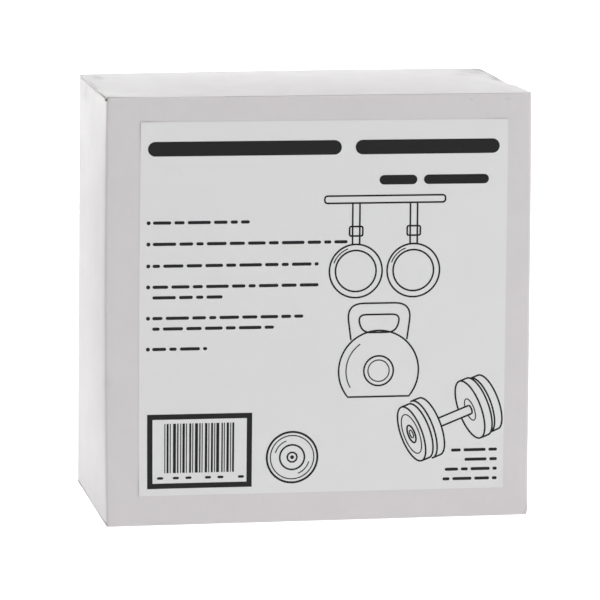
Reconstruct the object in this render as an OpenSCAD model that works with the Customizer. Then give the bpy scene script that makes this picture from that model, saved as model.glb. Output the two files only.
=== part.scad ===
// A boxed set of pressed gym chalk: eight paper-wrapped blocks in a paperboard carton.
// The carton is a straight tuck-end carton. Its lid and its bottom panel both hinge on the back panel.
// Origin: centre of the carton's footprint, on the face it stands on. +X is the right-hand side
// seen from the front, the front panel faces -Y, and +Z is up.

/* [Carton] */
// Width of the carton across its front
carton_w = 152.4; // [151:0.1:160]
// Depth of the carton from front to back
carton_d = 85; // [84.5:0.1:90]
// Height of the carton
carton_h = 153.6; // [150:0.1:160]
// Thickness of the paperboard
board = 0.6; // [0.4:0.05:0.7]
// Outside radius of the four upright folds
fold_r = 1; // [0.8:0.1:2]

/* [Flaps] */
// Length of each tuck flap, from its fold to its free edge
tuck_len = 16; // [12:0.5:16]
// Angle by which a closed tuck flap leans back from the front panel
tuck_lean = 8; // [8:0.5:9]
// Radius of the two free corners of each tuck flap
tuck_corner_r = 8; // [3:0.5:11]
// Length of each dust flap, from its fold to its free edge
dust_len = 38; // [25:1:40]
// Width of the glue flap that joins the back panel to the right panel
glue_w = 14; // [8:0.5:20]

/* [Label] */
// Width of the label on the front panel
label_w = 132.6; // [100:0.1:140]
// Height of the label on the front panel
label_h = 133.9; // [100:0.1:140]
// Thickness of the label sheet
label_t = 0.15; // [0.1:0.01:0.3]

/* [Chalk] */
// Width of one wrapped block
wrapped_w = 74; // [70:0.1:74.2]
// Depth of one wrapped block
wrapped_d = 39.5; // [36:0.1:39.6]
// Height of one wrapped block
wrapped_h = 71.5; // [66:0.1:72]
// Thickness of the folded wrapping paper
paper = 0.3; // [0.2:0.05:0.5]
// Width of the saw chamfer along a block's edges
block_chamfer = 1.2; // [0.5:0.1:3]

/* [Hidden] */
$fn = 48;

// Clearances that let each fold turn without touching the panel it folds from
crease_gap = 0.1;
slip_gap = 0.15;
// The lid is this much narrower than the carton at each side, so its cut edges clear the side folds
lid_inset = 0.5;
// The front panel's cut edges stop this far short of the lid's and the bottom panel's outer faces
front_inset = 0.3;
// A tuck flap starts this far along from its fold line, and is this much narrower at each side
tuck_start = 0.8;
tuck_inset = 0.5;
// A dust flap's back edge is mitred: it starts this far from the back of the carton, and it
// gains this much length for each millimetre that it comes forward
dust_back_start = 1.2;
dust_mitre = 1.35;
// Its front edge stays this far back from the carton's front, and tapers by dust_taper more
dust_front_inset = 5.5;
dust_taper = 2;
// Where the label sits relative to the middle of the front panel
label_shift_x = 1.4;
label_shift_z = 0.6;
// Space between neighbouring wrapped blocks, and between a block and its wrapper
block_gap = 0.4;
layer_gap = 0.1;
chalk_gap = 0.1;
// Width of the slit that stays open between a wrapper's two folded end flaps
wrapper_slit = 0.6;
// The glue flap is cut short at its top and bottom by this much
glue_trim = 4;

inner_w = carton_w - 2 * board;
inner_d = carton_d - 2 * board;
lid_w = carton_w - 2 * lid_inset;
// The lid's front fold lies just behind the front panel's inner face
lid_d = carton_d - board - slip_gap;
// Height of the outer faces of the bottom dust flaps, which lie inside the bottom panel
dust_z = board + crease_gap;
// Height at which the side panels' upright part starts, above the dust flaps' fold
side_z = dust_z + board + crease_gap;
chalk_floor = side_z;
// The blocks stand against the back panel and beside the glue flap
stack_back = carton_d / 2 - board - block_gap;
stack_right = carton_w / 2 - 2 * board - block_gap;

board_colour = "whitesmoke";
label_colour = "white";
paper_colour = "snow";
chalk_colour = "ivory";

// Turns a part drawn for the bottom of the carton into the same part at the top
module at_top() {
    translate([0, 0, carton_h])
        mirror([0, 0, 1])
            children();
}

module rounded_rectangle(w, d, r) {
    square([w - 2 * r, d], center = true);
    square([w, d - 2 * r], center = true);
    for (x = [-1, 1], y = [-1, 1])
        translate([x * (w / 2 - r), y * (d / 2 - r)])
            circle(r);
}

// The four walls before they are parted along the mitre planes of the upright folds
module wall_tube(z_low, z_high) {
    translate([0, 0, z_low])
        linear_extrude(z_high - z_low)
            difference() {
                rounded_rectangle(carton_w, carton_d, fold_r);
                rounded_rectangle(inner_w, inner_d, fold_r - board);
            }
}

// Keeps the wall on the +X side of a tube that is w wide and d deep, cut at 45 degrees at its corners
module side_wedge(w, d) {
    reach = 3 * fold_r;
    linear_extrude(carton_h)
        polygon([
            [w / 2 - reach, -d / 2 + reach],
            [w / 2, -d / 2],
            [w / 2, d / 2],
            [w / 2 - reach, d / 2 - reach]
        ]);
}

module front_panel() {
    color(board_colour)
        intersection() {
            wall_tube(front_inset, carton_h - front_inset);
            rotate(-90)
                side_wedge(carton_d, carton_w);
        }
}

module back_panel() {
    color(board_colour)
        intersection() {
            wall_tube(board + crease_gap, carton_h - board - crease_gap);
            rotate(90)
                side_wedge(carton_d, carton_w);
        }
}

module side_panel() {
    color(board_colour)
        intersection() {
            wall_tube(side_z, carton_h - side_z);
            side_wedge(carton_w, carton_d);
        }
}

module right_panel() {
    side_panel();
}

module left_panel() {
    mirror([1, 0, 0])
        side_panel();
}

// Folded from the back panel and glued to the inner face of the right panel
module glue_flap() {
    corner_cut = glue_w / 4;
    low = glue_trim;
    high = carton_h - glue_trim;
    color(board_colour)
        intersection() {
            linear_extrude(carton_h)
                intersection() {
                    rounded_rectangle(inner_w, inner_d, fold_r - board);
                    translate([inner_w / 2 - board, inner_d / 2 - glue_w])
                        square([board, glue_w]);
                }
            translate([inner_w / 2 + board, inner_d / 2 - glue_w, 0])
                rotate([0, -90, 0])
                    linear_extrude(3 * board)
                        polygon([
                            [low, glue_w],
                            [low + corner_cut, 0],
                            [high - corner_cut, 0],
                            [high, glue_w]
                        ]);
        }
}

module front_label() {
    color(label_colour)
        translate([
            label_shift_x - label_w / 2,
            -carton_d / 2 - label_t,
            carton_h / 2 + label_shift_z - label_h / 2
        ])
            cube([label_w, label_t, label_h]);
}

// A closing panel, lying flat at the bottom of the carton. It folds from the back panel
module closing_panel() {
    color(board_colour)
        translate([-lid_w / 2, carton_d / 2 - lid_d, 0])
            cube([lid_w, lid_d, board]);
}

// A tuck flap's outline: a strip whose two free corners are rounded
module tuck_outline(w) {
    corner_x = w / 2 - tuck_corner_r;
    intersection() {
        translate([-w / 2, tuck_start])
            square([w, tuck_len - tuck_start]);
        union() {
            translate([-w / 2, 0])
                square([w, tuck_len - tuck_corner_r]);
            translate([-corner_x, 0])
                square([2 * corner_x, tuck_len]);
            for (x = [-corner_x, corner_x])
                translate([x, tuck_len - tuck_corner_r])
                    circle(tuck_corner_r);
        }
    }
}

// A tuck flap, folded up from the closing panel's front edge and leaning back from the front panel
module tuck_flap() {
    color(board_colour)
        translate([0, carton_d / 2 - lid_d, 0])
            rotate([-tuck_lean, 0, 0])
                translate([0, board, 0])
                    rotate([90, 0, 0])
                        linear_extrude(board)
                            tuck_outline(lid_w - 2 * tuck_inset);
}

// A dust flap, folded in from the right panel. Its mitred back edge stays inside the closing
// panel's swing, so the two can open together
module dust_flap() {
    back = carton_d / 2 - dust_back_start;
    front = -carton_d / 2 + dust_front_inset;
    color(board_colour)
        translate([0, 0, dust_z])
            linear_extrude(board)
                polygon([
                    [carton_w / 2, front],
                    [carton_w / 2, back],
                    [carton_w / 2 - dust_len, back - dust_len / dust_mitre],
                    [carton_w / 2 - dust_len, front + dust_taper]
                ]);
}

module bottom_panel() {
    closing_panel();
}

module top_lid() {
    at_top()
        closing_panel();
}

module bottom_tuck_flap() {
    tuck_flap();
}

module top_tuck_flap() {
    at_top()
        tuck_flap();
}

module bottom_dust_flap_right() {
    dust_flap();
}

module bottom_dust_flap_left() {
    mirror([1, 0, 0])
        dust_flap();
}

module top_dust_flap_right() {
    at_top()
        dust_flap();
}

module top_dust_flap_left() {
    at_top()
        mirror([1, 0, 0])
            dust_flap();
}

// Places its children at block number n's lowest corner. Blocks 1 to 4 are the bottom layer and
// 5 to 8 the top layer; in each layer the first two are at the front, from left to right
module at_block(n) {
    column = (n - 1) % 2;
    row = floor((n - 1) / 2) % 2;
    layer = floor((n - 1) / 4);
    translate([
        stack_right - (2 - column) * wrapped_w - (1 - column) * block_gap,
        stack_back - (2 - row) * wrapped_d - (1 - row) * block_gap,
        chalk_floor + layer * (wrapped_h + layer_gap)
    ])
        children();
}

// A box with all twelve edges chamfered: the common part of three chamfered prisms
module chamfered_box(size, c) {
    intersection() {
        linear_extrude(size.z)
            chamfered_rectangle(size.x, size.y, c);
        translate([0, size.y, 0])
            rotate([90, 0, 0])
                linear_extrude(size.y)
                    chamfered_rectangle(size.x, size.z, c);
        rotate([90, 0, 90])
            linear_extrude(size.x)
                chamfered_rectangle(size.y, size.z, c);
    }
}

module chamfered_rectangle(w, d, c) {
    polygon([
        [c, 0], [w - c, 0], [w, c], [w, d - c],
        [w - c, d], [c, d], [0, d - c], [0, c]
    ]);
}

module chalk_block(n) {
    inset = paper + chalk_gap;
    color(chalk_colour)
        at_block(n)
            translate([inset, inset, inset])
                chamfered_box(
                    [wrapped_w - 2 * inset, wrapped_d - 2 * inset, wrapped_h - 2 * inset],
                    block_chamfer
                );
}

// Paper wrapped once round a block, with its two ends folded over to meet in the middle
module block_wrapper(n) {
    color(paper_colour)
        at_block(n)
            difference() {
                cube([wrapped_w, wrapped_d, wrapped_h]);
                translate([paper, paper, paper])
                    cube([wrapped_w - 2 * paper, wrapped_d - 2 * paper, wrapped_h - 2 * paper]);
                translate([2 * paper, (wrapped_d - wrapper_slit) / 2, -1])
                    cube([wrapped_w - 4 * paper, wrapper_slit, wrapped_h + 2]);
            }
}

front_panel();
left_panel();
back_panel();
right_panel();
glue_flap();
front_label();
top_lid();
top_tuck_flap();
top_dust_flap_left();
top_dust_flap_right();
bottom_panel();
bottom_tuck_flap();
bottom_dust_flap_left();
bottom_dust_flap_right();
chalk_block(1);  // chalk_block_1
chalk_block(2);  // chalk_block_2
chalk_block(3);  // chalk_block_3
chalk_block(4);  // chalk_block_4
chalk_block(5);  // chalk_block_5
chalk_block(6);  // chalk_block_6
chalk_block(7);  // chalk_block_7
chalk_block(8);  // chalk_block_8
block_wrapper(1);  // block_wrapper_1
block_wrapper(2);  // block_wrapper_2
block_wrapper(3);  // block_wrapper_3
block_wrapper(4);  // block_wrapper_4
block_wrapper(5);  // block_wrapper_5
block_wrapper(6);  // block_wrapper_6
block_wrapper(7);  // block_wrapper_7
block_wrapper(8);  // block_wrapper_8
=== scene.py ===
import math

import bmesh
import bpy
from mathutils import Matrix, Vector, noise


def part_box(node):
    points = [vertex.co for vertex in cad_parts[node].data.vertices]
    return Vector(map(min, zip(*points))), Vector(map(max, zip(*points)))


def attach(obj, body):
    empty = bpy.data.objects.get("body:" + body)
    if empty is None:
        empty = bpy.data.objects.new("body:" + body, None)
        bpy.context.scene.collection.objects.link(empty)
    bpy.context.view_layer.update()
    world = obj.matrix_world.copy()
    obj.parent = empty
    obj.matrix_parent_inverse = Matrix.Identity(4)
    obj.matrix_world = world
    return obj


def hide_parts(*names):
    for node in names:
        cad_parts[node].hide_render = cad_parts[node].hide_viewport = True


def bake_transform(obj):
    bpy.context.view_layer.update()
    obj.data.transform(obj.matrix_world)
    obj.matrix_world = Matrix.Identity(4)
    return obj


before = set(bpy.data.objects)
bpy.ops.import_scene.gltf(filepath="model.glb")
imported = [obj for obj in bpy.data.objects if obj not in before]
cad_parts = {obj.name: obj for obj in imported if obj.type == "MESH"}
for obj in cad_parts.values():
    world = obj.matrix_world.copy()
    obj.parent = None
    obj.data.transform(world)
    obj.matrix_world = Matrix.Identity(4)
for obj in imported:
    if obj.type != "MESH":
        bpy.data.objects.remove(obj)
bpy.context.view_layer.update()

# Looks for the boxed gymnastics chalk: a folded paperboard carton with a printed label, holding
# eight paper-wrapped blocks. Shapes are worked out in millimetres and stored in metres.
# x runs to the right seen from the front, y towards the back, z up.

MM = 0.001


# ---- sizes from the frame

def box_mm(node):
    """The lowest and highest corners of a CAD node, in millimetres."""
    low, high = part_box(node)
    return low / MM, high / MM


side_high = box_mm("right_panel")[1]
back_high = box_mm("back_panel")[1]
front_low, front_high = box_mm("front_panel")
lid_low, lid_high = box_mm("top_lid")
dust_low, dust_high = box_mm("top_dust_flap_right")
tuck_low, tuck_high = box_mm("top_tuck_flap")
glue_low, glue_high = box_mm("glue_flap")
label_low, label_high = box_mm("front_label")

WIDTH = 2 * side_high.x
DEPTH = 2 * back_high.y
HEIGHT = lid_high.z
BOARD = lid_high.z - lid_low.z

# Outside radii of the upright folds and of the folds along the flaps
FOLD_R = 1.0
CREASE_R = 0.8
TUCK_CREASE_R = 0.65
DUST_CREASE_R = 0.65
# How far the lid and the bottom panel stop short of the side panels' outer faces
LID_SIDE_GAP = 0.05
# The spacing of the points across a flat sheet
SHEET_STEP = 3.0
# The angle by which a closed tuck flap leans back, from the CAD flap's own depth and height
TUCK_LEAN = math.atan2(tuck_high.y - tuck_low.y - BOARD, tuck_high.z - tuck_low.z)
TUCK_LEN = 16.0
TUCK_CORNER_R = 8.0
TUCK_CORNER_STEPS = 8
# A dust flap narrows by the taper at its front and by its length over the mitre at its back
DUST_TAPER = 2.0
DUST_MITRE = 1.35
DUST_COLUMNS = 24


# ---- small helpers

def clamp(t):
    return min(max(t, 0.0), 1.0)


def smooth(t):
    t = clamp(t)
    return t * t * (3 - 2 * t)


def arch(t):
    """0 at both ends of 0..1 and 1 in the middle."""
    return math.sin(math.pi * clamp(t))


def between(start, end, count):
    """Numbers from start to end, in count even steps."""
    return [start + (end - start) * i / count for i in range(count + 1)]


def spread(start, end, step):
    """Evenly spaced numbers from start to end, no further apart than step."""
    return between(start, end, max(1, math.ceil(abs(end - start) / step - 1e-6)))


def straight(start, end, step):
    """Points (a, b) along a straight line, both ends included, no further apart than step."""
    count = len(spread(0, math.dist(start, end), step)) - 1
    return list(zip(between(start[0], end[0], count), between(start[1], end[1], count)))


def arc(centre, radius, start_deg, end_deg, steps):
    """Points (a, b) along an arc of a circle, both ends included."""
    points = []
    for i in range(steps + 1):
        angle = math.radians(start_deg + (end_deg - start_deg) * i / steps)
        points.append((centre[0] + radius * math.cos(angle), centre[1] + radius * math.sin(angle)))
    return points


# ---- how the carton has settled

# How far each panel bows outwards in its middle
BOW = {"left": 2.0, "right": 0.9, "front": 0.25, "back": 0.9, "top": 1.5}
# The band under the lid, as a share of the height, that bows up with it
TOP_BAND = 0.1
# How far the panels ripple, and the size of the ripples
RIPPLE = 0.08
RIPPLE_SIZE = 34.0
# The bow of a panel starts this share of the way from the carton's middle to the panel
FACE_START = 0.6
# How far the upright fold between the left and the front panel is pulled out halfway up
FOLD_PULL = 0.6
# How far the carton's corners have moved from a true box. Each corner is named by whether it's at
# the right, at the back and at the top.
CORNER_SHIFTS = {
    (0, 0, 1): (-0.25, 0.0, -0.2),
    (1, 0, 1): (0.2, 0.0, 0.1),
    (0, 0, 0): (-0.3, 0.0, 0.0),
    (1, 0, 0): (1.0, 0.0, 0.0),
    (0, 1, 1): (0.5, 0.0, 0.1),
    (1, 1, 1): (-0.1, 0.0, 0.9),
    (0, 1, 0): (-0.5, -0.5, 0.0),
}
# The right-hand top edge is pressed down a little, halfway along its depth
SAG_DEPTH = 0.7
SAG_REACH = 14.0
# The lid's front left corner stands up from the side panel
LIFT_HEIGHT = 0.55
LIFT_REACH_X = 8.0
LIFT_REACH_Y = 31.0
LIFT_START = 4.0


def near_face(distance, half):
    """1 on a panel, which is half away from the carton's middle, and 0 well inside it."""
    return smooth((distance / half - FACE_START) / (1 - FACE_START))


def corner_shift(across, back, up):
    """The corners' own moves, shared out over the carton."""
    shift = Vector((0, 0, 0))
    for corner, move in CORNER_SHIFTS.items():
        shares = [clamp(t if far else 1 - t) for t, far in zip((across, back, up), corner)]
        shift += Vector(move) * math.prod(shares)
    return shift


def settle(x, y, z):
    """Where a point of the perfect carton has moved to in the real, slightly bowed one."""
    across = x / WIDTH + 0.5
    back = y / DEPTH + 0.5
    up = z / HEIGHT
    upright = arch(up) ** 0.6
    side = BOW["left"] if x < 0 else BOW["right"]
    face = BOW["front"] if y < 0 else BOW["back"]
    ripple = RIPPLE * noise.noise(Vector((x, 2 * y, z)) / RIPPLE_SIZE)
    dx = math.copysign(near_face(abs(x), WIDTH / 2), x) * (side * arch(clamp(back) ** 0.8) + ripple)
    dy = math.copysign(near_face(abs(y), DEPTH / 2), y) * (face * arch(across) + ripple)
    pull = FOLD_PULL * smooth(1 - 4 * across) * smooth(1 - 1.5 * back)
    top = smooth(1 - (1 - up) / TOP_BAND)
    sag = SAG_DEPTH * math.exp(-((y / SAG_REACH) ** 2)) * smooth((x - WIDTH / 2 + SAG_REACH) / SAG_REACH)
    dz = top * (BOW["top"] * arch(across) ** 0.5 * arch(back * 0.92) - sag)
    moved = Vector((x + (dx - pull) * upright, y + dy * upright, z + dz))
    return moved + corner_shift(across, back, up)


def lid_lift(x, y):
    """How far the lid's raised front left corner stands up at this place."""
    depth = y + DEPTH / 2
    along = smooth(1 - depth / LIFT_REACH_Y) * (0.4 + 0.6 * smooth(depth / LIFT_START))
    return LIFT_HEIGHT * math.exp(-(((x + WIDTH / 2) / LIFT_REACH_X) ** 2)) * along


# ---- meshes

# Edges that bend by more than this, in radians, stay sharp
SHARP_ANGLE = 0.7


def crisp_edges():
    """A modifier group that shades smoothly but keeps cut edges sharp."""
    group = bpy.data.node_groups.new("crisp_edges", "GeometryNodeTree")
    for direction in ("INPUT", "OUTPUT"):
        group.interface.new_socket("Geometry", in_out=direction, socket_type="NodeSocketGeometry")
    start, faces, edges, angle, sharper, end = [group.nodes.new(kind) for kind in (
        "NodeGroupInput", "GeometryNodeSetShadeSmooth", "GeometryNodeSetShadeSmooth",
        "GeometryNodeInputMeshEdgeAngle", "FunctionNodeCompare", "NodeGroupOutput",
    )]
    edges.domain = "EDGE"
    edges.inputs["Shade Smooth"].default_value = False
    sharper.data_type = "FLOAT"
    sharper.operation = "GREATER_THAN"
    sharper.inputs["B"].default_value = SHARP_ANGLE
    group.links.new(start.outputs[0], faces.inputs["Geometry"])
    group.links.new(faces.outputs[0], edges.inputs["Geometry"])
    group.links.new(angle.outputs["Unsigned Angle"], sharper.inputs["A"])
    group.links.new(sharper.outputs[0], edges.inputs["Selection"])
    group.links.new(edges.outputs[0], end.inputs[0])
    return group


CRISP_EDGES = crisp_edges()


def new_object(name, data):
    thing = bpy.data.objects.new(name, data)
    bpy.context.scene.collection.objects.link(thing)
    return thing


def make_object(name, points, faces, rest, materials):
    """A mesh object from points in millimetres. rest holds where its surface pattern is read."""
    mesh = bpy.data.meshes.new(name)
    mesh.from_pydata([Vector(p) * MM for p in points], [], faces)
    pattern = mesh.attributes.new("rest", "FLOAT_VECTOR", "POINT")
    pattern.data.foreach_set("vector", [c for p in rest for c in p])
    for material in materials:
        mesh.materials.append(material)
    return new_object(name, mesh)


def grid_faces(rows, columns, first=0, flip=False):
    faces = []
    for r in range(rows - 1):
        for c in range(columns - 1):
            a = first + r * columns + c
            face = (a, a + 1, a + columns + 1, a + columns)
            faces.append(face[::-1] if flip else face)
    return faces


def keep_crisp(piece):
    crisp = piece.modifiers.new("crisp_edges", "NODES")
    crisp.node_group = CRISP_EDGES


def add_thickness(piece, thickness, edge_slot=True):
    """Gives an open sheet its thickness, on the side away from its normals."""
    solid = piece.modifiers.new("thickness", "SOLIDIFY")
    solid.thickness = thickness * MM
    solid.offset = -1
    solid.use_even_offset = True
    if edge_slot:
        solid.material_offset = 1
        solid.material_offset_rim = 2
    keep_crisp(piece)


def sheet(name, grid, move, flip=False, thickness=BOARD, materials=None):
    """A sheet of board through a grid of points of the perfect carton. move settles each point."""
    rest = [p for row in grid for p in row]
    points = [move(*p) for p in rest]
    faces = grid_faces(len(grid), len(grid[0]), flip=flip)
    piece = make_object(name, points, faces, rest, materials or BOARD_MATERIALS)
    add_thickness(piece, thickness)
    return piece


def tie(piece, slot, body, *nodes):
    """Gives a piece its body and hides the CAD nodes that it stands in for. slot is not used."""
    if nodes:
        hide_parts(*nodes)
    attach(piece, body)


# ---- shader helpers

class Shader:
    """A node material. Its calls add nodes and return the last one's output."""

    def __init__(self, name):
        self.material = bpy.data.materials.new(name)
        self.material.use_nodes = True
        self.nodes = self.material.node_tree.nodes
        self.links = self.material.node_tree.links
        self.surface = self.nodes["Principled BSDF"]

    def put(self, socket, value):
        if isinstance(value, bpy.types.NodeSocket):
            self.links.new(value, socket)
        else:
            socket.default_value = value

    def add(self, kind, inputs, output=0, **settings):
        node = self.nodes.new("ShaderNode" + kind)
        for key, value in settings.items():
            setattr(node, key, value)
        for key, value in inputs.items():
            self.put(node.inputs[key], value)
        return node.outputs[output]

    def place(self, stretch=(1, 1, 1)):
        """Where the surface pattern is read, in millimetres times stretch."""
        rest = self.add("Attribute", {}, output="Vector", attribute_name="rest")
        return self.add("VectorMath", {0: rest, 1: stretch}, operation="MULTIPLY")

    def math(self, operation, a, b=0.0, clamped=False):
        return self.add("Math", {0: a, 1: b}, operation=operation, use_clamp=clamped)

    def times(self, a, b):
        return self.math("MULTIPLY", a, b)

    def grain(self, size, detail, stretch=(1, 1, 1)):
        """Noise from 0 to 1 whose features are about size millimetres across."""
        inputs = {"Vector": self.place(stretch), "Scale": 1 / size}
        inputs.update({"Detail": detail, "Roughness": 0.6})
        return self.add("TexNoise", inputs)

    def patches(self, size, detail, low=0.35, high=0.7, stretch=(1, 1, 1)):
        """Noise with more contrast: 0 where it is under low and 1 where it is over high."""
        return self.ramp(self.grain(size, detail, stretch), low, high)

    def ramp(self, value, low, high, to_low=0.0, to_high=1.0):
        """Value taken smoothly from low..high to to_low..to_high."""
        inputs = {0: value, 1: low, 2: high, 3: to_low, 4: to_high}
        return self.add("MapRange", inputs, interpolation_type="SMOOTHSTEP")

    def mix(self, share, a, b):
        inputs = {"Factor": share, 6: a, 7: b}
        return self.add("Mix", inputs, output=2, data_type="RGBA")

    def spot(self, centre, reach):
        """1 near a point of the surface, falling to 0 at reach (x, y, z) millimetres from it."""
        offset = self.add("VectorMath", {0: self.place(), 1: centre}, operation="SUBTRACT")
        scaled = self.add("VectorMath", {0: offset, 1: reach}, operation="DIVIDE")
        away = self.add("VectorMath", {0: scaled}, output="Value", operation="LENGTH")
        return self.ramp(away, 0.2, 1.0, 1.0, 0.0)

    def bump(self, height, distance, strength=1.0, normal=None):
        inputs = {"Height": height, "Distance": distance * MM, "Strength": strength}
        if normal:
            inputs["Normal"] = normal
        return self.add("Bump", inputs)

    def finish(self, colour, roughness, specular, normal):
        """Sets what the surface is like and returns the material."""
        inputs = self.surface.inputs
        self.put(inputs["Base Color"], colour)
        self.put(inputs["Roughness"], roughness)
        self.put(inputs["Specular IOR Level"], specular)
        if normal:
            self.put(inputs["Normal"], normal)
        return self.material

    def edge_distance(self):
        """Distance from the nearest edge of the carton, in millimetres, at a point of its surface."""
        axes = self.add("SeparateXYZ", {0: self.place()}).node.outputs
        gap_x = self.math("SUBTRACT", WIDTH / 2, self.math("ABSOLUTE", axes[0]))
        gap_y = self.math("SUBTRACT", DEPTH / 2, self.math("ABSOLUTE", axes[1]))
        from_middle = self.math("ABSOLUTE", self.math("SUBTRACT", axes[2], HEIGHT / 2))
        gap_z = self.math("SUBTRACT", HEIGHT / 2, from_middle)
        smaller = self.math("MINIMUM", gap_x, gap_y)
        larger = self.math("MAXIMUM", gap_x, gap_y)
        return self.math("MAXIMUM", smaller, self.math("MINIMUM", larger, gap_z))


# ---- materials

BOARD_WHITE = (0.765, 0.738, 0.746, 1)
BOARD_SHADE = (0.715, 0.688, 0.696, 1)
BOARD_CORE = (0.85, 0.83, 0.79, 1)
BOARD_INSIDE = (0.74, 0.71, 0.66, 1)
# Grey for scuff marks and flecks, also used for painted shade on the lid's back right corner
SCUFF_AND_SHADE_GREY = (0.33, 0.32, 0.32, 1)
LABEL_WHITE = (0.86, 0.86, 0.862, 1)
LABEL_SHADE = (0.82, 0.82, 0.822, 1)
LABEL_FIBRE = (0.72, 0.72, 0.72, 1)
INK_BLACK = (0.006, 0.006, 0.007, 1)
INK_THIN = (0.014, 0.014, 0.015, 1)
WRAP_WHITE = (0.87, 0.865, 0.85, 1)
WRAP_SHADE = (0.8, 0.79, 0.77, 1)
CHALK_WHITE = (0.93, 0.93, 0.925, 1)
CHALK_SHADE = (0.86, 0.86, 0.855, 1)
# The darker colour of the chalk's pits: painted shade in them
CHALK_PIT_SHADE = (0.7, 0.7, 0.695, 1)
# The board's lowest and highest roughness, and how much rougher it is where it is rubbed or greyed by
# scuff marks and painted shade
BOARD_ROUGH = (0.29, 0.35)
RUBBED_ROUGH = 0.3
# How shiny the board is, clean and where its scuff marks and painted shade are full
CLEAN_SHINE = 0.5
SCUFF_AND_SHADE_SHINE = 0.1


def coated_board():
    """The carton's outside: clay-coated white board, a little mottled, with scuff marks along its folds
    and painted shade on the lid's back right corner.
    """
    s = Shader("coated_board")
    mottle = s.patches(22, 3)
    fibres = s.patches(1.6, 6, 0.3, 0.75, stretch=(1, 1, 0.35))
    colour = s.mix(s.times(mottle, 0.4), BOARD_WHITE, BOARD_SHADE)
    colour = s.mix(s.times(fibres, 0.25), colour, BOARD_SHADE)
    edge = s.edge_distance()
    ragged = s.math("SUBTRACT", edge, s.times(s.grain(2.2, 5), 1.5))
    patchy = s.patches(13, 2, 0.45, 0.65)
    rubbed = s.times(s.ramp(ragged, -0.45, 0.1, 1.0, 0.0), patchy)
    colour = s.mix(s.times(rubbed, 0.5), colour, BOARD_CORE)
    flecks = s.patches(0.8, 0, 0.8, 0.86)
    colour = s.mix(s.times(flecks, 0.12), colour, SCUFF_AND_SHADE_GREY)
    # Grey scuff marks, and painted shade where the lid's back right corner is pressed down
    grime_and_shade = scuffs_and_shade(s, s.ramp(edge, 0.3, 1.6, 1.0, 0.0))
    rough = s.ramp(s.grain(9, 3), 0.3, 0.7, *BOARD_ROUGH)
    extra_rough = s.times(s.math("MAXIMUM", grime_and_shade, rubbed), RUBBED_ROUGH)
    waves = s.bump(s.grain(26, 1), 0.12)
    tooth = s.bump(s.grain(0.7, 2), 0.002, normal=waves)
    return s.finish(
        s.mix(grime_and_shade, colour, SCUFF_AND_SHADE_GREY),
        s.math("ADD", rough, extra_rough, True),
        s.ramp(grime_and_shade, 0.0, 1.0, CLEAN_SHINE, SCUFF_AND_SHADE_SHINE),
        s.bump(rubbed, 0.01, normal=tooth),
    )


def scuffs_and_shade(s, at_edge):
    """How grey each place is with scuff marks and with painted shade. at_edge is 1 along the carton's
    edges and 0 elsewhere.
    """
    right, back, top = WIDTH / 2, DEPTH / 2, HEIGHT
    # Each grey mark's place, its reach along x, y and z, its strength, and whether it keeps to the edges
    scuff_and_shade_marks = [
        # Painted shade: these four grey patches lie where the lid's back right corner is pressed down
        ((right - 1.5, back - 5, top), (4.5, 15, 3), 0.8, False),
        ((right - 5, back - 14, top), (10, 16, 3), 0.3, False),
        ((right - 1, back - 36, top), (4, 16, 3), 0.5, False),
        ((right - 12, back - 26, top), (5, 10, 3), 0.15, False),
        # The rest are scuff marks
        ((-right + 3, back, top), (16, 5, 3), 0.8, True),
        ((-right, back - 1, top - 4), (3, 6, 9), 0.9, True),
        ((-right + 5, back - 16, top), (3, 14, 3), 0.3, False),
        ((-right, back - 24, top - 5), (3, 14, 5), 0.2, False),
        ((-right, back - 40, top - 1), (3, 20, 3), 0.3, True),
        ((right - 9, -back, top - 2), (2, 3, 0.8), 0.14, False),
        ((right - 22, -back, top - 2), (1.2, 3, 0.8), 0.14, False),
        ((right - 16, -back, top - 7), (0.8, 3, 1.6), 0.14, False),
        ((-right, -back, top * 0.34), (3, 5, 5), 0.15, False),
        ((right, -back, 2), (3, 3, 5), 0.4, True),
        ((-right, back, 3), (3, 6, 5), 0.5, True),
    ]
    cloud = s.patches(2.4, 4, 0.3, 0.6)
    grime_and_shade = 0.0
    for centre, reach, strength, keeps_to_edges in scuff_and_shade_marks:
        mask = s.times(s.spot(centre, reach), s.times(cloud, strength))
        if keeps_to_edges:
            mask = s.times(mask, at_edge)
        grime_and_shade = s.math("MAXIMUM", grime_and_shade, mask)
    return grime_and_shade


def plain_board(name, colour, size, depth, roughness=0.85):
    """Uncoated board, for the carton's inside and its cut edges."""
    s = Shader(name)
    darker = tuple(c * 0.88 for c in colour[:3]) + (1,)
    fibres = s.patches(size, 6, 0.3, 0.75, stretch=(1, 1, 0.4))
    cloud = s.patches(18, 2)
    tone = s.math("ADD", s.times(fibres, 0.6), s.times(cloud, 0.3), True)
    rough = s.ramp(fibres, 0.0, 1.0, roughness - 0.07, roughness + 0.07)
    return s.finish(s.mix(tone, colour, darker), rough, 0.4, s.bump(s.grain(size, 4), depth))


def label_paper():
    """The label's face: smooth white paper with a slight sheen."""
    s = Shader("label_paper")
    cloud = s.patches(30, 3)
    colour = s.mix(s.times(cloud, 0.3), LABEL_WHITE, LABEL_SHADE)
    fibres = s.patches(0.8, 4)
    colour = s.mix(s.times(fibres, 0.06), colour, LABEL_FIBRE)
    rough = s.ramp(s.grain(12, 3), 0.3, 0.7, 0.3, 0.38)
    waves = s.bump(s.grain(24, 1), 0.12)
    return s.finish(colour, rough, 0.45, s.bump(s.grain(0.35, 2), 0.004, normal=waves))


def ink():
    """Printed black, a little uneven, duller than the paper."""
    s = Shader("printed_ink")
    cover = s.patches(0.5, 5, 0.25, 0.75)
    rough = s.ramp(cover, 0.0, 1.0, 0.42, 0.55)
    return s.finish(s.mix(cover, INK_BLACK, INK_THIN), rough, 0.3, s.bump(s.grain(0.3, 2), 0.003))


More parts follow.
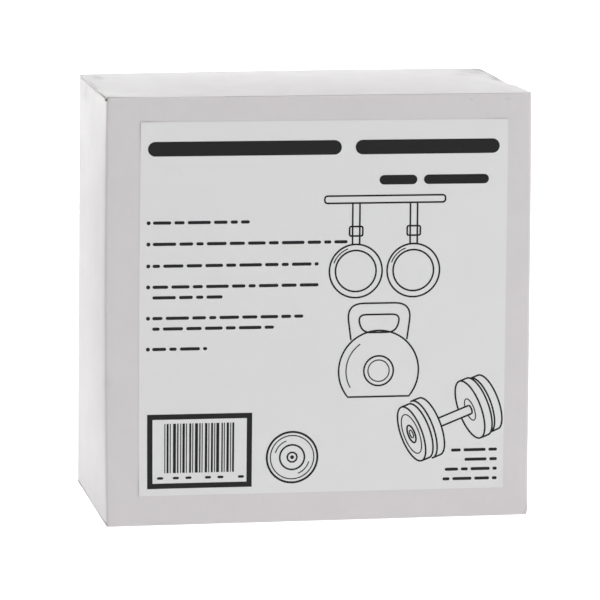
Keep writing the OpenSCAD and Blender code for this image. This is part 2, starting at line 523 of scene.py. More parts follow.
def wrapping_paper():
    """Thin white wrapping paper with creases and fine fibres."""
    s = Shader("wrapping_paper")
    cloud = s.patches(14, 4)
    colour = s.mix(s.times(cloud, 0.35), WRAP_WHITE, WRAP_SHADE)
    wobble = s.add("TexNoise", {"Vector": s.place(), "Scale": 0.12}, output="Color")
    bent = s.add("VectorMath", {0: wobble, 1: (9, 9, 9), 2: s.place()}, operation="MULTIPLY_ADD")
    cells = s.add("TexVoronoi", {"Vector": bent, "Scale": 1 / 13.0}, feature="DISTANCE_TO_EDGE")
    creases = s.bump(s.ramp(cells, 0.0, 0.12), 0.18, strength=0.7)
    rough = s.ramp(cloud, 0.0, 1.0, 0.6, 0.75)
    return s.finish(colour, rough, 0.3, s.bump(s.grain(0.6, 4), 0.02, normal=creases))


def pressed_chalk():
    """Pressed magnesium carbonate: dead white, powdery, with pits and pressed grain."""
    s = Shader("pressed_chalk")
    cloud = s.patches(9, 6)
    pits = s.patches(1.1, 5, 0.58, 0.72)
    colour = s.mix(s.times(cloud, 0.5), CHALK_WHITE, CHALK_SHADE)
    # Painted shade: the pits are darker than the chalk around them
    colour = s.mix(s.times(pits, 0.3), colour, CHALK_PIT_SHADE)
    rough = s.ramp(cloud, 0.0, 1.0, 0.93, 1.0)
    powder = s.bump(s.grain(0.45, 6), 0.08)
    return s.finish(colour, rough, 0.1, s.bump(s.math("SUBTRACT", 1.0, pits), 0.25, normal=powder))


# Outside, inside and cut edge of the board, in the order of a sheet's material slots
BOARD_MATERIALS = [
    coated_board(),
    plain_board("board_inside", BOARD_INSIDE, 1.8, 0.05),
    plain_board("board_cut_edge", BOARD_CORE, 0.5, 0.01, 0.45),
]


# ---- carton walls

# The two ends of the carton's long sheet: the cut edge at the back right fold stops this far short
# of it, and the glue flap lies this far inside the right panel
CUT_BACK = 0.3
GLUE_GAP = 0.03
FOLD_STEPS = 6
# The glue flap narrows by one millimetre in this many at each end
GLUE_TAPER = 4.0
# How much higher the front panel reaches in the settled carton than in the CAD, where the lid
# closes tight on it, and how much more than that at its left end
FRONT_TOP = 0.18
FRONT_RISE = 0.1


def sleeve_path():
    """The folded walls seen from above, from the right panel's cut back edge round to the glue
    flap's free edge: points (x, y, panel)."""
    half_w, half_d, turn = WIDTH / 2, DEPTH / 2, FOLD_R
    flap_x = half_w - BOARD - GLUE_GAP
    # Each fold's centre, the angle at which it starts, and the panels before and after it
    folds = [
        ((half_w - turn, -half_d + turn), 0, "side", "front"),
        ((-half_w + turn, -half_d + turn), -90, "front", "side"),
        ((-half_w + turn, half_d - turn), 180, "side", "back"),
        ((flap_x - turn, half_d - turn), 90, "back", "back"),
    ]
    place = (half_w, half_d - CUT_BACK)
    path = []
    for centre, start_deg, before, after in folds:
        bend = arc(centre, turn, start_deg, start_deg - 90, FOLD_STEPS)
        path += [(x, y, before) for x, y in straight(place, bend[0], SHEET_STEP)]
        for i, (x, y) in enumerate(bend[1:-1]):
            path.append((x, y, before if i < FOLD_STEPS // 2 else after))
        place = bend[-1]
    path += [(x, y, "glue") for x, y in straight(place, (flap_x, glue_low.y), SHEET_STEP)]
    return path


def wall_limits(panel, x, y):
    """The lowest and highest point of the walls at this place round the carton."""
    if panel == "front":
        rise = FRONT_TOP + FRONT_RISE * smooth(-2 * x / WIDTH)
        return front_low.z, front_high.z + rise
    if panel == "side":
        return HEIGHT - dust_high.z + DUST_CREASE_R, dust_high.z - DUST_CREASE_R
    if panel == "back":
        return CREASE_R, HEIGHT - CREASE_R
    taper = (glue_high.y - y) / GLUE_TAPER
    return glue_low.z + taper, glue_high.z - taper


def carton_sleeve():
    """The five wall panels, as the one folded sheet that they are."""
    columns = [(x, y, *wall_limits(panel, x, y)) for x, y, panel in sleeve_path()]
    levels = spread(0, 1, SHEET_STEP / HEIGHT)
    grid = [[(x, y, low + (high - low) * t) for x, y, low, high in columns] for t in levels]
    piece = sheet("carton_sleeve", grid, settle, flip=True)
    walls = ("front_panel", "left_panel", "back_panel", "right_panel", "glue_flap")
    tie(piece, "carton_board", "carton", *walls)


# ---- flaps

CREASE_STEPS = 5


def flap_sheet(name, cad_node, grid, crease, at_bottom, flip, move):
    """A flap's sheet, standing in for its CAD node, which is hidden. The grid and the crease's two ends
    are for the top of the carton; the crease is not used."""
    if at_bottom:
        grid = [[(x, y, HEIGHT - z) for x, y, z in row] for row in grid]
        crease = [(x, y, HEIGHT - z) for x, y, z in crease]
    piece = sheet(name, grid, move, flip=flip)
    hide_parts(cad_node)
    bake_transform(piece)


def lid_move(x, y, z):
    """The lid settles with the carton, and its front left corner stands up."""
    place = settle(x, y, z)
    place.z += lid_lift(x, y) * smooth((z - tuck_low.z) / (HEIGHT - tuck_low.z))
    return place


def tuck_start():
    """How far from the tuck flap's fold line its rounded crease begins."""
    return TUCK_CREASE_R * math.tan((math.pi / 2 - TUCK_LEAN) / 2)


def closing_sheet(name, cad_node, at_bottom):
    """The lid or the bottom panel, with its rounded crease at the back panel."""
    profile = arc((DEPTH / 2 - CREASE_R, HEIGHT - CREASE_R), CREASE_R, 0, 90, CREASE_STEPS)
    profile += straight(profile[-1], (lid_low.y + tuck_start(), HEIGHT), SHEET_STEP)[1:]
    edge = WIDTH / 2 - LID_SIDE_GAP
    grid = [[(x, y, z) for x in spread(-edge, edge, SHEET_STEP)] for y, z in profile]
    crease = [(0, DEPTH / 2, HEIGHT - CREASE_R), (0, DEPTH / 2 - CREASE_R, HEIGHT)]
    move = settle if at_bottom else lid_move
    flap_sheet(name, cad_node, grid, crease, at_bottom, not at_bottom, move)


def tuck_sheet(name, cad_node, at_bottom):
    """A tuck flap with its rounded crease at the closing panel's front edge."""
    fold_y, fold_z = lid_low.y, HEIGHT
    reach = tuck_start()
    down = Vector((math.sin(TUCK_LEAN), -math.cos(TUCK_LEAN)))
    centre = (fold_y + reach, fold_z - TUCK_CREASE_R)
    bend = arc(centre, TUCK_CREASE_R, 90, 180 + math.degrees(TUCK_LEAN), CREASE_STEPS)
    half = tuck_high.x
    stations = [(y, z, half) for y, z in bend]
    straight_end = TUCK_LEN - TUCK_CORNER_R
    corner = arc((half - TUCK_CORNER_R, straight_end), TUCK_CORNER_R, 0, 90, TUCK_CORNER_STEPS)
    for width, s in straight((half, reach), corner[0], SHEET_STEP)[1:] + corner[1:]:
        stations.append((fold_y + down[0] * s, fold_z + down[1] * s, width))
    columns = spread(-1, 1, SHEET_STEP / half)
    grid = [[(c * width, y, z) for c in columns] for y, z, width in stations]
    crease = [(0, fold_y + reach, fold_z), (0, fold_y + down[0] * reach, fold_z + down[1] * reach)]
    move = settle if at_bottom else lid_move
    flap_sheet(name, cad_node, grid, crease, at_bottom, not at_bottom, move)


def dust_sheet(name, cad_node, side, at_bottom):
    """A dust flap, folded in from a side panel. side is -1 on the left and 1 on the right."""
    top, radius = dust_high.z, DUST_CREASE_R
    length = dust_high.x - dust_low.x
    mitre_run = length / DUST_MITRE
    stations = arc((WIDTH / 2 - radius, top - radius), radius, 0, 90, CREASE_STEPS)
    stations += straight(stations[-1], (WIDTH / 2 - length, top), SHEET_STEP)[1:]
    grid = []
    for x, z in stations:
        share = (WIDTH / 2 - x) / length
        front = dust_low.y + DUST_TAPER * share
        back = dust_high.y - mitre_run * share
        grid.append([(side * x, y, z) for y in between(front, back, DUST_COLUMNS)])
    crease = [(side * WIDTH / 2, 0, top - radius), (side * (WIDTH / 2 - radius), 0, top)]
    flip = (side > 0) == at_bottom
    flap_sheet(name, cad_node, grid, crease, at_bottom, flip, settle)


def flaps():
    """The four flaps of the top end and the four of the bottom end."""
    for end, panel, cad_panel, body in (
        ("top", "lid", "top_lid", "lid"),
        ("bottom", "base", "bottom_panel", "base_flap"),
    ):
        at_bottom = end == "bottom"
        closing_sheet(f"{panel}_sheet", cad_panel, at_bottom)
        tuck_sheet(f"{panel}_tuck_sheet", f"{end}_tuck_flap", at_bottom)
        for hand, side in (("left", -1), ("right", 1)):
            cad_flap, dust_body = f"{end}_dust_flap_{hand}", f"{end}_dust_{hand}"
            dust_sheet(f"{end}_dust_sheet_{hand}", cad_flap, side, at_bottom)


# ---- label and its printing

# The gap of the adhesive under the label
LABEL_GAP = 0.01
# The printed paper alone, without the adhesive that the CAD label also holds
LABEL_PAPER = 0.09
# The label was stuck on a little high and turned, by this many millimetres in each millimetre
LABEL_RISE = 0.4
LABEL_TURN = 0.004
# The panel has spread a little at its corners and the label on it hasn't
LABEL_SQUEEZE = 0.992
# How far the label's corners have let go, and over what distance
CORNER_CURL = 0.25
CURL_REACH = 7.0
# How far the ink stands out from the paper and reaches into it
INK_THICK = 0.03
INK_DEPTH = 0.01


def label_face(x, z, out):
    """A point on the label, out millimetres in front of the label's back face."""
    middle = (label_low + label_high) / 2
    turned_x = middle.x + (x - middle.x) * LABEL_SQUEEZE + (z - middle.z) * LABEL_TURN
    turned_z = z - (x - middle.x) * LABEL_TURN + LABEL_RISE
    place = settle(turned_x, -DEPTH / 2, turned_z)
    near_x = min(x - label_low.x, label_high.x - x)
    near_z = min(z - label_low.z, label_high.z - z)
    curl = CORNER_CURL * math.exp(-((math.hypot(near_x, near_z) / CURL_REACH) ** 2))
    place.y -= LABEL_GAP + curl + out
    return place


def label_sheet():
    columns = spread(label_low.x, label_high.x, SHEET_STEP)
    levels = spread(label_low.z, label_high.z, SHEET_STEP)
    grid = [[(x, -DEPTH / 2, z) for x in columns] for z in levels]
    piece = sheet(
        "label_sheet", grid, lambda x, y, z: label_face(x, z, LABEL_PAPER),
        thickness=LABEL_PAPER, materials=[label_paper()] * 3,
    )
    tie(piece, "label_paper", "carton", "front_label")


class Print:
    """Flat printed shapes on the label, each a very thin closed solid. Places are millimetres
    right of and down from the label's top left corner."""

    def __init__(self):
        self.points, self.rest, self.faces = [], [], []

    def strip(self, left, right, closed=False):
        """A solid strip between two lines of points."""
        first = len(self.points)
        count = len(left)
        for a, b in zip(left, right):
            for out in (LABEL_PAPER - INK_DEPTH, LABEL_PAPER + INK_THICK):
                for u, v in (a, b):
                    x = label_low.x + u
                    z = label_high.z - v
                    self.points.append(label_face(x, z, out))
                    self.rest.append((x, -DEPTH / 2, z))
        last = count if closed else count - 1
        for i in range(last):
            a = first + 4 * i
            b = first + 4 * ((i + 1) % count)
            self.faces.append((a + 2, a + 3, b + 3, b + 2))
            self.faces.append((a + 1, a, b, b + 1))
            self.faces.append((a, a + 2, b + 2, b))
            self.faces.append((a + 3, a + 1, b + 1, b + 3))
        if not closed:
            self.faces.append((first, first + 1, first + 3, first + 2))
            end = first + 4 * (count - 1)
            self.faces.append((end + 1, end, end + 2, end + 3))

    def bar(self, u0, v0, u1, v1):
        """A filled rectangle."""
        along = spread(u0, u1, SHEET_STEP)
        levels = spread(v0, v1, SHEET_STEP)
        for top, bottom in zip(levels, levels[1:]):
            self.strip([(u, top) for u in along], [(u, bottom) for u in along])

    def pill(self, u0, u1, v, height):
        """A filled bar with round ends."""
        r = height / 2
        left = arc((u0 + r, v), r, 180, 90, 6)
        right = arc((u1 - r, v), r, 90, 0, 6)
        middle = [(u, v + r) for u in spread(u0 + r, u1 - r, SHEET_STEP)[1:-1]]
        lower = left + middle + right
        self.strip([(u, 2 * v - w) for u, w in lower], lower)

    def line(self, path, width, closed=False):
        """A line of constant width along a path of points."""
        count = len(path)
        left, right = [], []
        for i, (u, v) in enumerate(path):
            before = path[i - 1] if closed or i > 0 else path[i]
            after = path[(i + 1) % count] if closed or i < count - 1 else path[i]
            along = Vector((after[0] - before[0], after[1] - before[1])).normalized()
            shift = Vector((along.y, -along.x)) * (width / 2)
            left.append((u + shift.x, v + shift.y))
            right.append((u - shift.x, v - shift.y))
        self.strip(left, right, closed)

    def ring(self, u, v, radius, width, squeeze=1.0, tilt=0.0, start=0.0, end=360.0):
        """A circle or an ellipse, or a part of one. squeeze narrows it and tilt then turns it."""
        whole = end - start >= 360
        steps = max(8, int(radius * abs(end - start) / 60))
        path = []
        for a, b in arc((0, 0), radius, start, end, steps):
            turned = Matrix.Rotation(math.radians(tilt), 2) @ Vector((a * squeeze, b))
            path.append((u + turned.x, v + turned.y))
        self.line(path[:-1] if whole else path, width, closed=whole)

    def disc(self, u, v, radius):
        self.pill(u - radius, u + radius, v, 2 * radius)

    def finish(self, name, material):
        piece = make_object(name, self.points, self.faces, self.rest, [material])
        keep_crisp(piece)
        tie(piece, "label_paper", "carton")


WORD_LENGTHS = [6.4, 3.6, 8.2, 4.9, 2.6, 7.1, 5.5]


def word_bars(p, start, end, v, height, gap, first_word):
    """A line of plain bars as long as words, in place of a line of type."""
    u = start
    number = first_word
    while u < end - gap:
        stop = min(u + WORD_LENGTHS[number % len(WORD_LENGTHS)], end)
        if end - stop < 2 * gap:
            stop = end
        p.pill(u, stop, v, height)
        u = stop + gap
        number += 1


def type_bars(material):
    """Bars in place of the title, subtitle, bulleted lines and address."""
    p = Print()
    title_v, title_h = 9.6, 5.2
    p.pill(2.6, 72.0, title_v, title_h)
    p.pill(77.0, 129.6, title_v, title_h)
    p.pill(85.8, 99.6, 21.4, 3.4)
    p.pill(102.0, 125.8, 21.4, 3.4)
    bullets = [(35.8, [39.0]), (43.4, [74.4]), (51.2, [64.0]), (58.7, [64.0, 29.4]),
               (69.9, [58.6, 48.0]), (81.0, [24.0])]
    text_left, leading, text_h = 4.6, 3.8, 1.15
    for number, (v, line_ends) in enumerate(bullets):
        p.disc(3.1, v, 0.7)
        for row, line_end in enumerate(line_ends):
            word_bars(p, text_left, line_end, v + row * leading, text_h, 1.1, 2 * number + 3 * row)
    right_edge = 130.2
    for row, length in enumerate([17.0, 12.0, 19.2, 20.0]):
        word_bars(p, right_edge - length, right_edge, 119.8 + row * 3.5, 1.1, 1.0, row + 1)
    p.finish("label_type_bars", material)


def stock_code(material):
    """A thick frame round a block of upright bars that codes nothing."""
    p = Print()
    left, right, top, bottom = 2.9, 40.4, 104.5, 131.4
    frame_w = 1.9
    p.bar(left, top, right, top + frame_w)
    p.bar(left, top + frame_w, left + frame_w, bottom - frame_w)
    p.bar(right - frame_w, top + frame_w, right, bottom - frame_w)
    p.bar(left, bottom - frame_w, right, bottom)
    bars_left, bars_right = 9.0, 34.9
    bars_top, bars_bottom = 107.9, 125.8
    widths = [0.35, 0.7, 0.35, 1.05, 0.5, 0.35, 0.85]
    gaps = [0.45, 0.4, 0.8, 0.4, 0.6]
    u = bars_left
    number = 0
    while u < bars_right - widths[number % len(widths)]:
        width = widths[number % len(widths)]
        p.bar(u, bars_top, u + width, bars_bottom)
        u += width + gaps[number % len(gaps)]
        number += 1
    for u in (6.4, 12.0, 16.5, 23.5, 28.0, 35.4):
        p.pill(u, u + 2.2, 127.6, 0.9)
    p.finish("label_stock_code", material)


def rounded_path(points, radius, steps=5, closed=True):
    """A path through points whose corners are rounded."""
    path = []
    count = len(points)
    for i in range(count):
        here = Vector(points[i])
        if not closed and i in (0, count - 1):
            path.append(tuple(here))
            continue
        before, after = Vector(points[i - 1]), Vector(points[(i + 1) % count])
        reach = min(radius, (before - here).length / 2.1, (after - here).length / 2.1)
        start = here + (before - here).normalized() * reach
        end = here + (after - here).normalized() * reach
        for k in range(steps + 1):
            t = k / steps
            path.append(tuple((1 - t) ** 2 * start + 2 * t * (1 - t) * here + t * t * end))
    return fill_in(path, closed)


def fill_in(path, closed):
    """The same path with points no further apart than the label's own."""
    filled = []
    for a, b in zip(path, path[1:] + path[:1] if closed else path[1:]):
        filled += straight(a, b, SHEET_STEP)[:-1]
    return filled if closed else filled + [path[-1]]


# The widths of the drawings' lines
LINE_W = 0.62
FINE_LINE = 0.42


def gym_rings(p):
    """A pair of gymnastics rings hanging on straps from a bar."""
    bar_v = 27.0
    rail = [(66, bar_v), (110, bar_v), (110, bar_v + 2.6), (66, bar_v + 2.6)]
    p.line(rounded_path(rail, 1.2), LINE_W, True)
    for u in (77.5, 98.5):
        for shift in (-1.3, 1.3):
            p.line(fill_in([(u + shift, bar_v + 2.9), (u + shift, 44.6)], False), LINE_W)
        buckle = [(u - 2.4, 38.0), (u + 2.4, 38.0), (u + 2.4, 41.4), (u - 2.4, 41.4)]
        p.line(rounded_path(buckle, 0.7), LINE_W, True)
        p.ring(u, 54.0, 9.6, LINE_W)
        p.ring(u, 54.0, 7.4, LINE_W)
        p.ring(u, 54.0, 8.5, 0.4, start=200, end=250)


def kettlebell(p):
    """A kettlebell with a flat base."""
    u, v, radius = 86.2, 90.2, 14.6
    base_deg = 50
    body = arc((u, v), radius, 90 + base_deg, 450 - base_deg, 44)
    p.line(fill_in(body, True), LINE_W, True)
    # The handle's outline and the hole in it: half its width and its place at the bottom, then at
    # the top, and how far its corners are rounded
    for low_u, low_v, high_u, high_v, corner, closed in (
        (10.2, 11.2, 12.0, 24.5, 6.5, False),
        (6.2, 13.9, 7.9, 20.4, 3.6, True),
    ):
        left = [(u - low_u, v - low_v), (u - high_u, v - high_v)]
        right = [(u + high_u, v - high_v), (u + low_u, v - low_v)]
        p.line(rounded_path(left + right, corner, 8, closed), LINE_W, closed)
    p.ring(u, v, 11.9, FINE_LINE, start=150, end=235)
    p.ring(u, v, 5.4, LINE_W)
    p.ring(u, v, 3.9, FINE_LINE)


def dumbbell_end(p):
    """A dumbbell seen end on."""
    u, v = 55.0, 121.0
    for radius, width in ((9.2, 0.75), (7.9, 0.4), (4.5, LINE_W), (1.8, LINE_W)):
        p.ring(u, v, radius, width)
    p.disc(u, v, 0.7)
    p.ring(u, v, 6.3, 0.4, start=195, end=250)
    p.ring(u, v, 6.3, 0.4, start=15, end=70)


def dumbbell(p):
    """A dumbbell seen at an angle, with two plates at each end of its handle. Only the parts of its
    outlines that nothing hides are drawn."""
    middle, tilt, squeeze = Vector((112.6, 108.0)), -21.5, 0.36
    half_plate, handle_r, behind_handle = 1.45, 1.6, 9
    along = Vector((math.cos(math.radians(tilt)), math.sin(math.radians(tilt))))
    across = Vector((-along.y, along.x))

    def point(offset, aside):
        """A point this far along the handle and this far to its side."""
        return tuple(middle + along * offset + across * aside)

    def ring(offset, radius, width, start=0, end=360):
        p.ring(*point(offset, 0), radius, width, squeeze, tilt, start, end)

    # Each plate's place along the handle, its radius, and the stretch of its near rim that shows
    for offset, radius, start, end in (
        (-13.6, 10.6, -180, 180),
        (-9.4, 11.2, -97, 97),
        (9.4, 11.2, behind_handle - 180, 180 - behind_handle),
        (13.6, 10.6, -88, 88),
    ):
        near, far = offset - half_plate, offset + half_plate
        ring(near, radius, LINE_W, start, end)
        ring(far, radius, LINE_W, -90, 90)
        for aside in (-radius, radius):
            p.line([point(near, aside), point(far, aside)], LINE_W)
    for aside in (-handle_r, handle_r):
        p.line(fill_in([point(-3.8, aside), point(7.9, aside)], False), LINE_W)
    # The socket round the handle's far end, then the cap on the near plate
    ring(7.95, handle_r, LINE_W, -90, 90)
    ring(7.95, 4.2, FINE_LINE, -155, 155)
    ring(-15.1, 7.6, FINE_LINE)
    ring(-15.1, 3.4, LINE_W)
    ring(-15.1, handle_r, 0.45)


def drawings(material):
    p = Print()
    gym_rings(p)
    kettlebell(p)
    dumbbell_end(p)
    dumbbell(p)
    p.finish("label_drawings", material)


# ---- wrapped blocks

PAPER = 0.12
# Space kept inside the CAD wrapper for the paper's own ripples
PAPER_ROOM = 0.35
PAPER_STEP = 2.6
PAPER_FOLD_R = 1.4
PAPER_RIPPLE = 0.16
# The tube's ends stop this far short of the folded ends, and its ripples grow over this distance
TUBE_INSET = 0.3
RIPPLE_START = 8.0
# Where the tube's seam is on the back face, as a share of its width, and how far the sheet goes on
# over its own start, this far out from it
SEAM_SHARE = 0.62
SEAM_OVERLAP = 12.0
SEAM_OUT = PAPER + 0.06
# For each flap of a folded end, in the order of folding: how far it reaches as a share of the
# block's depth, and how many layers lie under it
END_FLAPS = {"left": (0.46, 0), "right": (0.46, 0), "front": (0.56, 1), "back": (0.62, 2)}
LAYER_RISE = PAPER + 0.03
FLAP_INSET = 0.2
# How far a flap ripples and stands off the ones under it, and over what distance from its fold
FLAP_RIPPLE = 0.07
FLAP_OFF = 0.06
FLAP_OFF_START = 4.0
# How far the last flap's free edge stands up, and from which share of its reach on
FLAP_LIFT = 0.28
LIFT_FROM = 0.55
# How far apart neighbouring blocks read the surface pattern, so that no two look the same
PAPER_PATTERN_STEP = 31.0
CHALK_PATTERN_STEP = 17.0
TOP_BODIES = {
    5: "top_front_left_block",
    6: "top_front_right_block",
    7: "top_back_left_block",
    8: "top_back_right_block",
}


def wrinkle(x, y, z, seed):
    """A small ripple of thin paper, from -1 to 1."""
    place = Vector((x, y, z)) / 11.0 + Vector((seed * 7.3, seed * 3.1, seed * 5.7))
    ridges = 1 - 2 * abs(noise.noise(place))
    return 0.6 * noise.noise(place * 0.5) + 0.4 * (ridges - 0.5)


def wrapper_tube(low, high, seed):
    """The sheet that goes once round the block and overlaps itself on its back face, as rows of
    points from the bottom to the top. low and high are the paper's own limits."""
    r = PAPER_FOLD_R
    seam = low.x + (high.x - low.x) * SEAM_SHARE
    path = [(seam, high.y)]
    for x, y, turn in (
        (low.x + r, high.y - r, 90),
        (low.x + r, low.y + r, 180),
        (high.x - r, low.y + r, 270),
        (high.x - r, high.y - r, 0),
    ):
        fold = arc((x, y), r, turn, turn + 90, 4)
        path += straight(path[-1], fold[0], PAPER_STEP)[1:] + fold[1:]
    # Between 6 and 3 mm before the seam the sheet steps out, to go on over its own start
    path += straight(path[-1], (seam + 6, high.y), PAPER_STEP)[1:]
    outer = high.y + SEAM_OUT
    path += straight((seam + 3, outer), (seam - SEAM_OVERLAP, outer), PAPER_STEP)
    rows = []
    for z in spread(low.z + TUBE_INSET, high.z - TUBE_INSET, PAPER_STEP):
        calm = smooth((min(z - low.z, high.z - z) + PAPER_ROOM) / RIPPLE_START)
        row = []
        for x, y in path:
            push = PAPER_RIPPLE * wrinkle(x, y, z, seed) * calm
            x += push * ((x > high.x - 0.5) - (x < low.x + 0.5))
            y += push * ((y > high.y - 0.5) - (y < low.y + 0.5))
            row.append((x, y, z))
        rows.append(row)
    return rows


def end_flap(low, high, up, kind, seed):
    """One flap of a wrapper's folded end, as rows of points from its fold to its free edge."""
    share, layer = END_FLAPS[kind]
    outward = 1 if up else -1
    level = (high.z if up else low.z) - outward * (2 - layer) * LAYER_RISE
    reach = share * (high.y - low.y)
    r = PAPER_FOLD_R / 2
    stations = arc((r, -r), r, 180, 90, 3) + [(s, 0.0) for s in spread(r, reach, PAPER_STEP)[1:]]
    rows = []
    for s, drop in stations:
        trim = FLAP_INSET + max(0.0, s - r) * (1.0 if layer else 0.98)
        if kind in ("front", "back"):
            y = low.y + s if kind == "front" else high.y - s
            spots = [(x, y) for x in between(low.x + trim, high.x - trim, 28)]
        else:
            x = low.x + s if kind == "left" else high.x - s
            spots = [(x, y) for y in between(low.y + trim, high.y - trim, 14)]
        free = smooth((s / reach - LIFT_FROM) / (1 - LIFT_FROM)) if kind == "back" else 0.0
        row = []
        for x, y in spots:
            off = FLAP_OFF + FLAP_RIPPLE * wrinkle(x, y, level, seed + layer)
            lifted = FLAP_LIFT * free * (0.5 + 0.5 * noise.noise(Vector((x / 9, seed, y / 9))))
            rise = off * smooth(s / FLAP_OFF_START) + lifted
            row.append((x, y, level + outward * (rise + drop)))
        rows.append(row)
    return rows


def block_wrapper(number, body, material):
    """Paper folded round one block: a tube with four flaps folded over at each end."""
    low, high = box_mm(f"block_wrapper_{number}")
    room = Vector((PAPER_ROOM,) * 3)
    sides = low + room, high - room
    sheets = [(wrapper_tube(*sides, number), True)]
    for up in (True, False):
        for kind in END_FLAPS:
            sheets.append((end_flap(*sides, up, kind, number), (kind in ("front", "right")) != up))
    points, faces = [], []
    for rows, flip in sheets:
        faces += grid_faces(len(rows), len(rows[0]), len(points), flip)
        points += [point for row in rows for point in row]
    rest = [(x + PAPER_PATTERN_STEP * number, y, z) for x, y, z in points]
    piece = make_object(f"wrapper_paper_{number}", points, faces, rest, [material])
    add_thickness(piece, PAPER, edge_slot=False)
    tie(piece, "wrapping_paper", body, f"block_wrapper_{number}")


# How far a block's faces lie inside its CAD node's, and the radius of its edges
CHALK_INSET = 0.55
CHALK_EDGE_R = 2.2
# How deep the grain goes on a block's faces, and how much deeper its edges have crumbled
CHALK_GRAIN = 0.08
CHALK_CRUMBLE = 0.35


def chalk_block(number, body, material):
    """One pressed block, with softened, slightly crumbled edges."""
    low, high = box_mm(f"chalk_block_{number}")
    centre = (low + high) / 2
    half = (high - low) / 2 - Vector((CHALK_INSET,) * 3)
    flat = half - Vector((CHALK_EDGE_R,) * 3)
    mesh = bmesh.new()
    bmesh.ops.create_cube(mesh, size=2)
    bmesh.ops.subdivide_edges(mesh, edges=mesh.edges[:], cuts=23, use_grid_fill=True)
    for vertex in mesh.verts:
        place = Vector(c * h for c, h in zip(vertex.co, half))
        core = Vector(max(-f, min(f, c)) for c, f in zip(place, flat))
        away = place - core
        if away.length > CHALK_EDGE_R:
            place = core + away.normalized() * CHALK_EDGE_R
        grain = 0.5 + 0.5 * noise.noise(place / 2.6 + Vector((number * 9.1, 0, 0)))
        on_edge = sum(abs(c) > f for c, f in zip(place, flat)) > 1
        depth = CHALK_GRAIN + (CHALK_CRUMBLE if on_edge else 0.0)
        vertex.co = centre + place - away.normalized() * depth * grain
    points = [tuple(v.co) for v in mesh.verts]
    faces = [tuple(v.index for v in f.verts) for f in mesh.faces]
    mesh.free()
    rest = [(x + CHALK_PATTERN_STEP * number, y, z) for x, y, z in points]
    piece = make_object(f"pressed_block_{number}", points, faces, rest, [material])
    piece.data.shade_smooth()
    tie(piece, "pressed_chalk", body, f"chalk_block_{number}")


def blocks():
    paper = wrapping_paper()
    chalk = pressed_chalk()
    for number in range(1, 9):
        body = TOP_BODIES.get(number, "carton")
        block_wrapper(number, body, paper)
        chalk_block(number, body, chalk)


# ---- stage, light and camera

# How brightly the floor and the backdrop glow, in front of the carton and behind it
GLOW_FRONT = 0.53
GLOW_BACK = 0.86
# How much more brightly the far backdrop glows near the floor, and what is left of that higher up
GLOW_FAR = 0.5
GLOW_HIGH = 0.2
# Where those change, in metres behind the carton's middle or above the floor
NEAR_RANGE = (-0.1, 0.12)
FAR_RANGE = (0.8, 1.8)
HIGH_RANGE = (0.15, 1.0)
# A glow that only the camera sees, so that the floor stays white up to the picture's edges
GLOW_SEEN = 0.4
# How much less of the glow behind lights dull surfaces than shows in shiny ones
GLOW_DIMMING = 0.45
# The floor lies this far under the carton, so that the two don't share a plane
FLOOR_DROP = 0.15
FLOOR_WHITE = (0.93, 0.93, 0.93, 1)
# Painted shade: the floor's dark colour right under the carton
FLOOR_PAINTED_SHADE = (0.25, 0.25, 0.25, 1)


def glowing_white():
    """The floor's material. It glows, more brightly behind the carton than in front, it has painted
    shade right under the carton, and it can't be seen from below."""
    s = Shader("studio_white")
    place = s.add("NewGeometry", {}, output="Position")
    parts = s.add("SeparateXYZ", {0: place}).node.outputs
    behind, height = parts[1], parts[2]
    side, end = WIDTH / 2 * MM, DEPTH / 2 * MM
    # Painted shade: the floor turns dark grey right under the carton
    under_x = s.ramp(s.math("ABSOLUTE", parts[0]), side * 0.96, side, 1.0, 0.0)
    under_y = s.ramp(s.math("ABSOLUTE", behind), end * 0.94, end, 1.0, 0.0)
    colour = s.mix(s.times(under_x, under_y), FLOOR_WHITE, FLOOR_PAINTED_SHADE)
    path = s.add("LightPath", {}).node.outputs
    kept = s.math("SUBTRACT", 1.0, s.times(path["Is Diffuse Ray"], GLOW_DIMMING))
    near = s.ramp(behind, *NEAR_RANGE, GLOW_FRONT, s.times(GLOW_BACK, kept))
    far = s.ramp(behind, *FAR_RANGE, 0.0, GLOW_FAR)
    far = s.times(far, s.ramp(height, *HIGH_RANGE, 1.0, GLOW_HIGH))
    seen = s.times(path["Is Camera Ray"], GLOW_SEEN)
    glow = s.math("ADD", s.math("ADD", near, s.times(far, kept)), seen)
    s.put(s.surface.inputs["Emission Color"], (1, 1, 1, 1))
    s.put(s.surface.inputs["Emission Strength"], glow)
    below = s.add("NewGeometry", {}, output="Backfacing")
    clear = s.add("BsdfTransparent", {})
    shown = s.add("MixShader", {0: below, 1: s.surface.outputs[0], 2: clear})
    s.put(s.nodes["Material Output"].inputs["Surface"], shown)
    return s.finish(colour, 0.9, 0.0, None)


def stage():
    """A floor that curves up into a backdrop."""
    half_width, wall_y, wall_height, sweep = 4000.0, 3000.0, 4000.0, 1500.0
    profile = [(-half_width, 0.0)] + arc((wall_y - sweep, sweep), sweep, -90, 0, 24)
    profile.append((wall_y, wall_height))
    points = [(x, y, z) for y, z in profile for x in (-half_width, half_width)]
    faces = grid_faces(len(profile), 2)
    floor = make_object("studio_floor", points, faces, points, [glowing_white()])
    floor.data.shade_smooth()
    floor.location.z = -FLOOR_DROP * MM


WORLD_LIGHT = 0.16
SOFTBOX_SIZE = 1.0
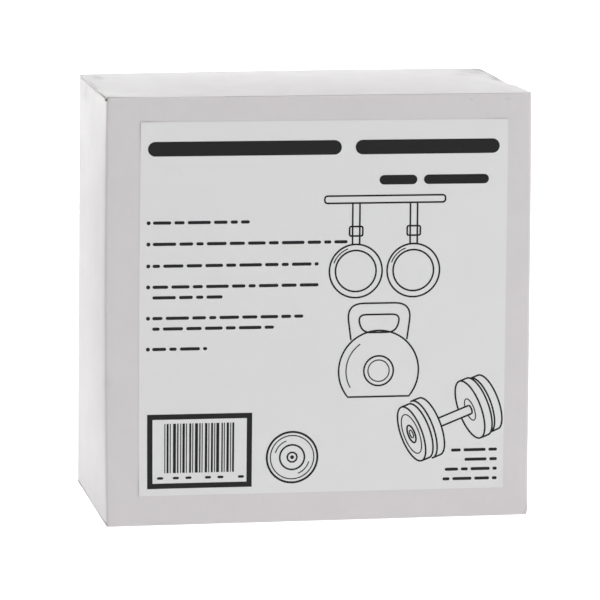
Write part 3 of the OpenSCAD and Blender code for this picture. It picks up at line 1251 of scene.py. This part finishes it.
# Each softbox's place in metres, with x to the right and y to the back, and its power in watts
SOFTBOXES = {
    "right_softbox": ((1.6, -0.9, 0.3), 11.0),
    "left_front_softbox": ((-1.4, -1.3, 0.15), 0.8),
    "top_front_softbox": ((0.1, -1.0, 1.3), 2.0),
    "overhead_softbox": ((0.0, -0.15, 2.0), 8.0),
}


def lights():
    """A dim white world and softboxes that all face the carton's middle."""
    world = bpy.data.worlds.new("studio")
    world.use_nodes = True
    background = world.node_tree.nodes["Background"]
    background.inputs["Color"].default_value = (1, 1, 1, 1)
    background.inputs["Strength"].default_value = WORLD_LIGHT
    bpy.context.scene.world = world
    middle = Vector((0, 0, HEIGHT * MM / 2))
    for name, (place, power) in SOFTBOXES.items():
        light = bpy.data.lights.new(name, "AREA")
        light.shape = "SQUARE"
        light.size = SOFTBOX_SIZE
        light.energy = power
        lamp = new_object(name, light)
        lamp.location = place
        lamp.rotation_euler = (middle - Vector(place)).to_track_quat("-Z", "Y").to_euler()


# The camera's direction round the object, its distance from the front panel's plane along its
# own axis, the point of that plane it aims at (from the panel's middle, in mm), and its lens
CAMERA_AZIMUTH = -10.23
CAMERA_ELEVATION = 8.76
CAMERA_ROLL = -0.42
CAMERA_DISTANCE = 1.4073
CAMERA_AIM = (-7.3, 3.8)
CAMERA_LENS = 237.3


def camera():
    azimuth, elevation = math.radians(CAMERA_AZIMUTH), math.radians(CAMERA_ELEVATION)
    back = Vector((
        math.sin(azimuth) * math.cos(elevation),
        -math.cos(azimuth) * math.cos(elevation),
        math.sin(elevation),
    ))
    aim = Vector((CAMERA_AIM[0], -DEPTH / 2, HEIGHT / 2 + CAMERA_AIM[1])) * MM
    data = bpy.data.cameras.new("camera")
    data.lens = CAMERA_LENS
    data.clip_start = 0.05
    data.clip_end = 50
    view = new_object("camera", data)
    level = (-back).to_track_quat("-Z", "Y")
    roll = Matrix.Rotation(math.radians(-CAMERA_ROLL), 4, back)
    turn = roll @ level.to_matrix().to_4x4()
    view.matrix_world = Matrix.Translation(aim + back * CAMERA_DISTANCE) @ turn
    bpy.context.scene.camera = view


# ---- the scene

carton_sleeve()
flaps()
label_sheet()
black = ink()
type_bars(black)
stock_code(black)
drawings(black)
blocks()
stage()
lights()
camera()
bpy.context.scene.view_settings.view_transform = "Standard"
